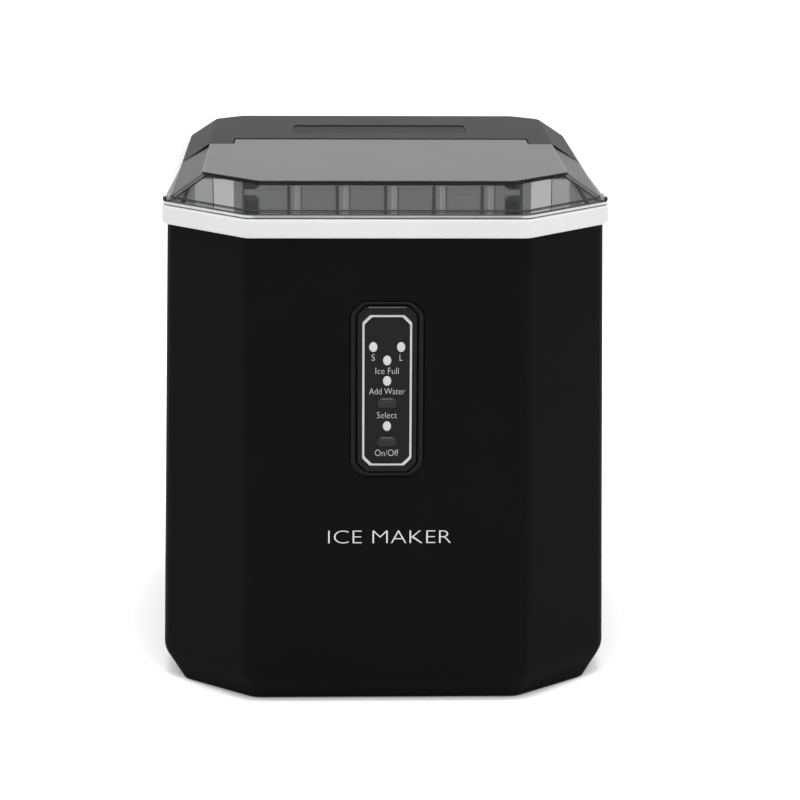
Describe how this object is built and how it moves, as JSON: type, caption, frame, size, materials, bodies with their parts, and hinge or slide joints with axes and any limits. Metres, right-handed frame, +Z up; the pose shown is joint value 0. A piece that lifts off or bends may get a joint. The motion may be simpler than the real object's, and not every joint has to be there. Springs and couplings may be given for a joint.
{
  "type": "countertop ice maker",
  "caption": "Countertop bullet ice maker: chamfered black housing, white rim, smoked hinged lid over a lift-out basket, front control panel with buttons and lamps, refrigeration works inside.",
  "frame": {"origin": "on the floor under the middle of the machine, level with the underside of its rubber feet", "axes": "+Z up, the front with its control panel faces -Y, +X is to the right seen from the front"},
  "size_m": [0.2942, 0.3524, 0.3383],
  "materials": {
    "black_housing": "satin black moulding",
    "gloss_black": "polished black moulding",
    "button_grey": "satin dark grey moulding",
    "white_rim": "satin white moulding",
    "smoked_clear": "smoked transparent plastic, polished",
    "grey_cover": "satin dark grey moulding",
    "black_trim": "black moulding",
    "silver_line": "satin silver plated",
    "lamp_white": "milky translucent lens",
    "liner_white": "satin white food-safe plastic",
    "basket_grey": "light grey plastic",
    "mid_grey": "grey plastic",
    "fan_grey": "dark grey plastic",
    "nickel": "nickel-plated copper",
    "copper": "drawn copper tube",
    "steel": "zinc-plated steel",
    "compressor_black": "black enamelled steel",
    "aluminium": "mill aluminium fins",
    "board": "green circuit board",
    "silicone": "translucent silicone",
    "foot_rubber": "matt black rubber"
  },
  "bodies": {
    "housing": {"body_shell": "black_housing", "rear_panel": "black_housing", "base_pan": "black_housing", "control_bezel": "gloss_black", "control_overlay": "gloss_black", "top_rim": "white_rim", "rear_cover": "grey_cover", "cord_gland": "black_trim", "ice_full_sensor_left": "black_trim", "ice_full_sensor_right": "black_trim", "tray_motor": "black_trim", "water_pump": "black_trim", "fan_shroud": "black_trim", "hot_gas_valve": "black_trim", "silver_trim": "silver_line", "lamp_small_ice": "lamp_white", "lamp_large_ice": "lamp_white", "lamp_ice_full": "lamp_white", "lamp_add_water": "lamp_white", "lamp_power": "lamp_white", "inner_liner": "liner_white", "float_post": "liner_white", "evaporator_frame": "mid_grey", "evaporator": "nickel", "discharge_pipe": "copper", "liquid_pipe": "copper", "capillary_tube": "copper", "suction_pipe": "copper", "hot_gas_pipe": "copper", "filter_drier": "copper", "rear_screw_left_low": "steel", "rear_screw_right_low": "steel", "rear_screw_left_high": "steel", "rear_screw_right_high": "steel", "hinge_pin_left": "steel", "hinge_pin_right": "steel", "compressor_bracket": "steel", "fan_motor": "steel", "compressor": "compressor_black", "condenser": "aluminium", "main_board": "board", "display_board": "board", "water_hose": "silicone", "drain_tube": "silicone", "foot_front_left": "foot_rubber", "foot_front_right": "foot_rubber", "foot_rear_left": "foot_rubber", "foot_rear_right": "foot_rubber"},
    "lid": {"lid": "smoked_clear", "lid_tab_left": "black_trim", "lid_tab_right": "black_trim"},
    "basket": {"ice_basket": "basket_grey"},
    "tray": {"water_tray": "basket_grey"},
    "shovel": {"ice_shovel": "mid_grey"},
    "fan": {"fan_blade": "fan_grey"},
    "select_button": {"select_button": "button_grey"},
    "power_button": {"power_button": "button_grey"},
    "drain_cap": {"drain_cap": "black_trim"},
    "float": {"water_float": "black_trim"}
  },
  "joints": [
    {"name": "lid_hinge", "type": "hinge", "parent": "housing", "child": "lid", "pos_m": [0, 0.0298, 0.3339], "axis": [-1, 0, 0], "range_deg": [0, 95]},
    {"name": "basket_lift", "type": "slide", "parent": "housing", "child": "basket", "axis": [0, 0, 1], "range_m": [0, 0.02]},
    {"name": "tray_tilt", "type": "hinge", "parent": "housing", "child": "tray", "pos_m": [0, 0.034, 0.262], "axis": [1, 0, 0], "range_deg": [0, 55]},
    {"name": "shovel_swing", "type": "hinge", "parent": "housing", "child": "shovel", "pos_m": [0, -0.018, 0.309], "axis": [-1, 0, 0], "range_deg": [0, 35]},
    {"name": "fan_spin", "type": "hinge", "parent": "housing", "child": "fan", "pos_m": [0.04, 0.137, 0.07], "axis": [0, 1, 0], "continuous": true},
    {"name": "select_press", "type": "slide", "parent": "housing", "child": "select_button", "axis": [0, 0.9997, -0.0225], "range_m": [0, 0.001], "stiffness_N_per_m": 300},
    {"name": "power_press", "type": "slide", "parent": "housing", "child": "power_button", "axis": [0, 0.9997, -0.0225], "range_m": [0, 0.001], "stiffness_N_per_m": 300},
    {"name": "drain_cap_turn", "type": "hinge", "parent": "housing", "child": "drain_cap", "pos_m": [-0.1416, -0.06, 0.036], "axis": [-1, 0, 0], "range_deg": [0, 180]},
    {"name": "float_rise", "type": "slide", "parent": "housing", "child": "float", "axis": [0, 0, 1], "range_m": [0, 0.018]}
  ],
  "couplings": [
    {"joint": "shovel_swing", "follows": "tray_tilt", "ratio": 0.63}
  ]
}
